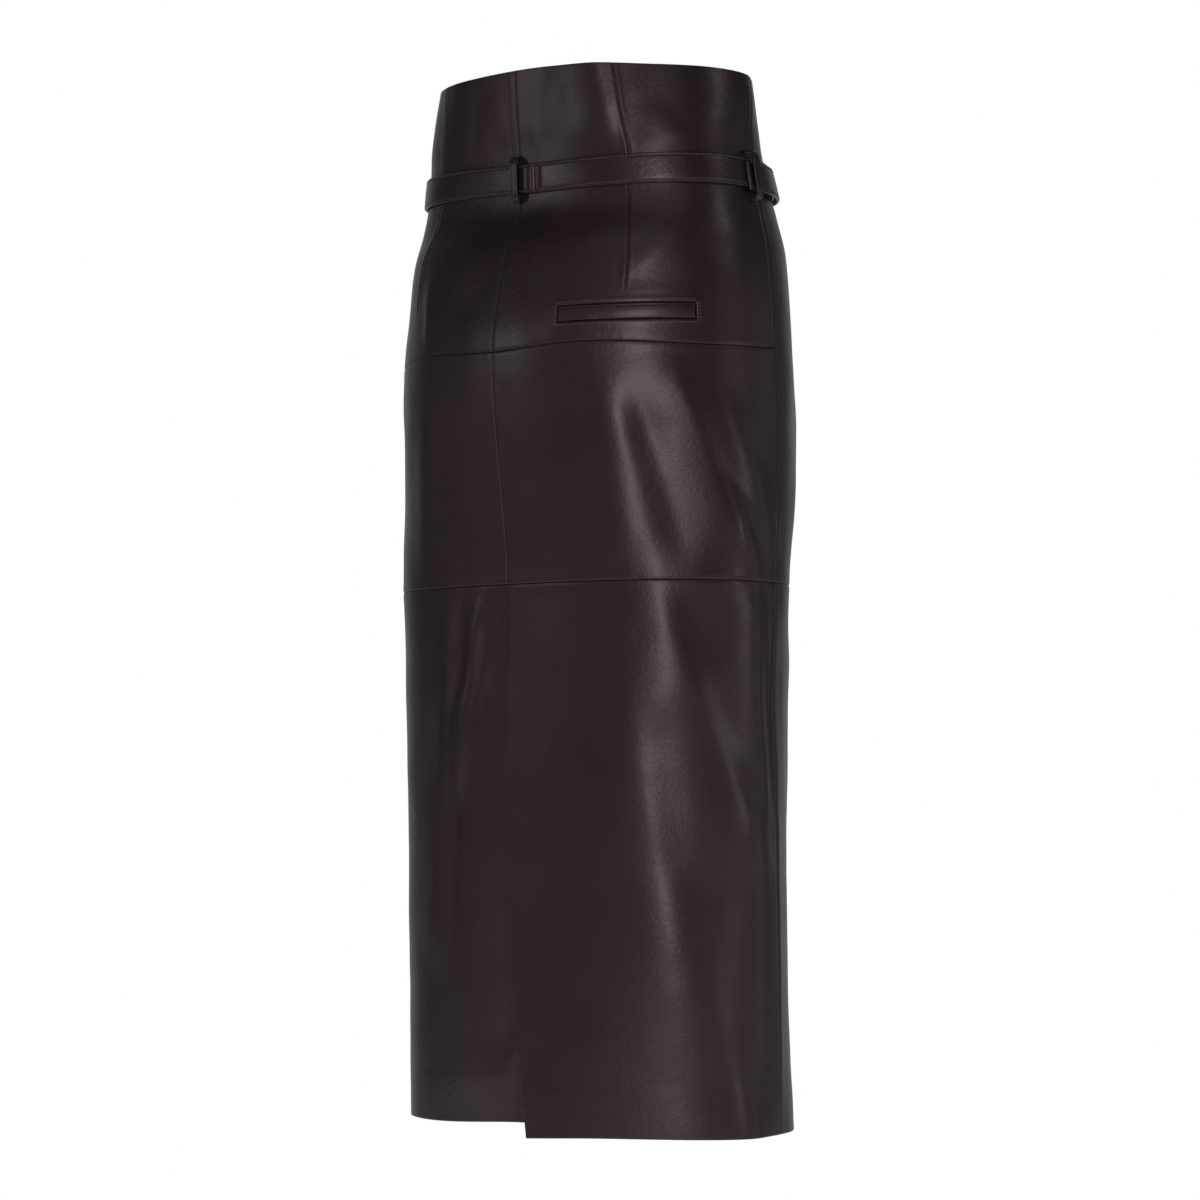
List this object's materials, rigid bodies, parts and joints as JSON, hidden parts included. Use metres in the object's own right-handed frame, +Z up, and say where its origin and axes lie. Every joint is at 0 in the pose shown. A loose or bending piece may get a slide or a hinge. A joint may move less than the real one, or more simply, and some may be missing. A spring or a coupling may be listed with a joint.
{
  "type": "leather midi skirt with belt",
  "caption": "High-waisted leather midi skirt in its worn shape, with panel seams, back vent, one welt pocket, belt loops and a thin belt.",
  "frame": {"origin": "middle of the waist, at the belt's middle height", "axes": "+Z up to the waist edge, -Y to the wearer's front, +X to the wearer's left"},
  "size_m": [0.3761, 0.2672, 0.8894],
  "materials": {
    "leather": "dark burgundy-brown smooth leather, semi-matt",
    "belt_leather": "dark burgundy-brown leather with stitched edges"
  },
  "bodies": {
    "root": {"back_upper_right": "leather", "back_upper_left": "leather", "back_middle_right": "leather", "back_middle_left": "leather", "back_lower_right": "leather", "back_lower_left": "leather", "front_upper": "leather", "front_lower": "leather", "pocket_welt": "leather", "belt": "belt_leather", "belt_buckle": "belt_leather", "belt_loop_back": "belt_leather", "belt_loop_right": "belt_leather", "belt_loop_left": "belt_leather"}
  },
  "joints": []
}
